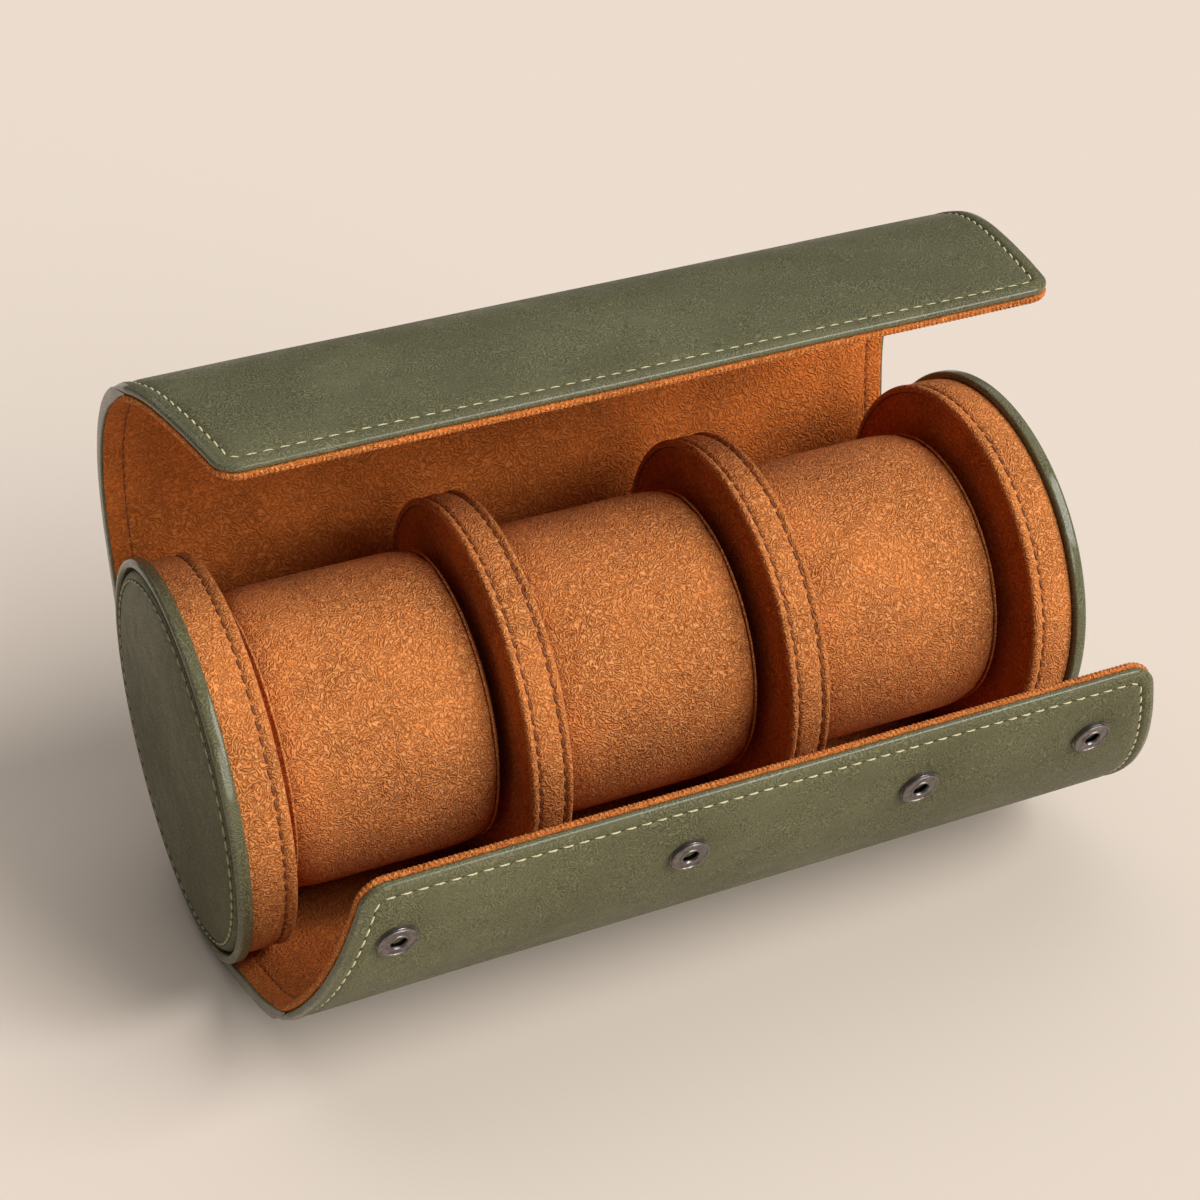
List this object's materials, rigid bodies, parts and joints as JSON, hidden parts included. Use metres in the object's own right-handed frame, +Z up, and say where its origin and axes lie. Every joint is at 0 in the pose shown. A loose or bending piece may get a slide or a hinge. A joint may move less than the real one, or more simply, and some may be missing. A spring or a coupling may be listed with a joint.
{
  "type": "watch roll",
  "caption": "Round travel roll for wristwatches: leather wrap lined with suede on end caps and dividers, with lift-out watch pillows and a cover that closes on press studs.",
  "frame": {"origin": "middle of the flat strip underneath that the roll stands on", "axes": "+X along the roll, -Y to the front flap with the press studs, +Z up"},
  "size_m": [0.211, 0.1442, 0.1405],
  "materials": {
    "olive_leather": "fine grained, semi-gloss",
    "tan_suede": "suede nap",
    "stiffener_board": "raw greyboard",
    "foam": "open foam",
    "snap_metal": "antique gunmetal plating"
  },
  "bodies": {
    "case": {"cradle_leather": "olive_leather", "cradle_board": "stiffener_board", "cradle_lining": "tan_suede", "left_cap_face": "olive_leather", "left_cap_rim": "olive_leather", "left_cap_core": "stiffener_board", "left_cap_band": "tan_suede", "left_cap_lining": "tan_suede", "left_divider_band": "tan_suede", "left_divider_core": "stiffener_board", "left_divider_outer_face": "tan_suede", "left_divider_inner_face": "tan_suede", "right_cap_face": "olive_leather", "right_cap_rim": "olive_leather", "right_cap_core": "stiffener_board", "right_cap_band": "tan_suede", "right_cap_lining": "tan_suede", "right_divider_band": "tan_suede", "right_divider_core": "stiffener_board", "right_divider_outer_face": "tan_suede", "right_divider_inner_face": "tan_suede"},
    "cover_rise": {"rise_leather": "olive_leather", "rise_board": "stiffener_board", "rise_lining": "tan_suede"},
    "cover_top": {"top_leather": "olive_leather", "top_board": "stiffener_board", "top_lining": "tan_suede"},
    "cover_lip": {"lip_leather": "olive_leather", "lip_board": "stiffener_board", "lip_lining": "tan_suede", "snap_studs": "snap_metal", "snap_stud_backs": "snap_metal"},
    "front_apron": {"apron_leather": "olive_leather", "apron_board": "stiffener_board", "apron_lining": "tan_suede"},
    "front_flap": {"front_leather": "olive_leather", "front_board": "stiffener_board", "front_lining": "tan_suede", "snap_sockets": "snap_metal", "snap_socket_backs": "snap_metal"},
    "left_pillow": {"left_pillow_sleeve": "tan_suede", "left_pillow_end_left": "tan_suede", "left_pillow_end_right": "tan_suede", "left_pillow_core": "foam"},
    "middle_pillow": {"middle_pillow_sleeve": "tan_suede", "middle_pillow_end_left": "tan_suede", "middle_pillow_end_right": "tan_suede", "middle_pillow_core": "foam"},
    "right_pillow": {"right_pillow_sleeve": "tan_suede", "right_pillow_end_left": "tan_suede", "right_pillow_end_right": "tan_suede", "right_pillow_core": "foam"}
  },
  "joints": [
    {"name": "cover_swing", "type": "hinge", "parent": "case", "child": "cover_rise", "pos_m": [0, 0.0493, 0.05], "axis": [-1, 0, 0], "range_deg": [-12, 18]},
    {"name": "top_fold", "type": "hinge", "parent": "cover_rise", "child": "cover_top", "pos_m": [0, 0.0493, 0.082], "axis": [-1, 0, 0], "range_deg": [-16, 24]},
    {"name": "lip_fold", "type": "hinge", "parent": "cover_top", "child": "cover_lip", "pos_m": [0, 0.00763, 0.1369], "axis": [-1, 0, 0], "range_deg": [-18, 27]},
    {"name": "front_swing", "type": "hinge", "parent": "case", "child": "front_apron", "pos_m": [0, -0.03045, 0.00806], "axis": [1, 0, 0], "range_deg": [-32, 18]},
    {"name": "flap_fold", "type": "hinge", "parent": "front_apron", "child": "front_flap", "pos_m": [0, -0.06641, 0.02468], "axis": [1, 0, 0], "range_deg": [-18, 10.12]},
    {"name": "left_pillow_lift", "type": "slide", "parent": "case", "child": "left_pillow", "axis": [0, -0.772, 0.6356], "range_m": [0, 0.12]},
    {"name": "middle_pillow_lift", "type": "slide", "parent": "case", "child": "middle_pillow", "axis": [0, -0.772, 0.6356], "range_m": [0, 0.12]},
    {"name": "right_pillow_lift", "type": "slide", "parent": "case", "child": "right_pillow", "axis": [0, -0.772, 0.6356], "range_m": [0, 0.12]}
  ],
  "couplings": [
    {"joint": "top_fold", "follows": "cover_swing", "ratio": 1.3333},
    {"joint": "lip_fold", "follows": "cover_swing", "ratio": 1.5},
    {"joint": "flap_fold", "follows": "front_swing", "ratio": 0.5625}
  ]
}
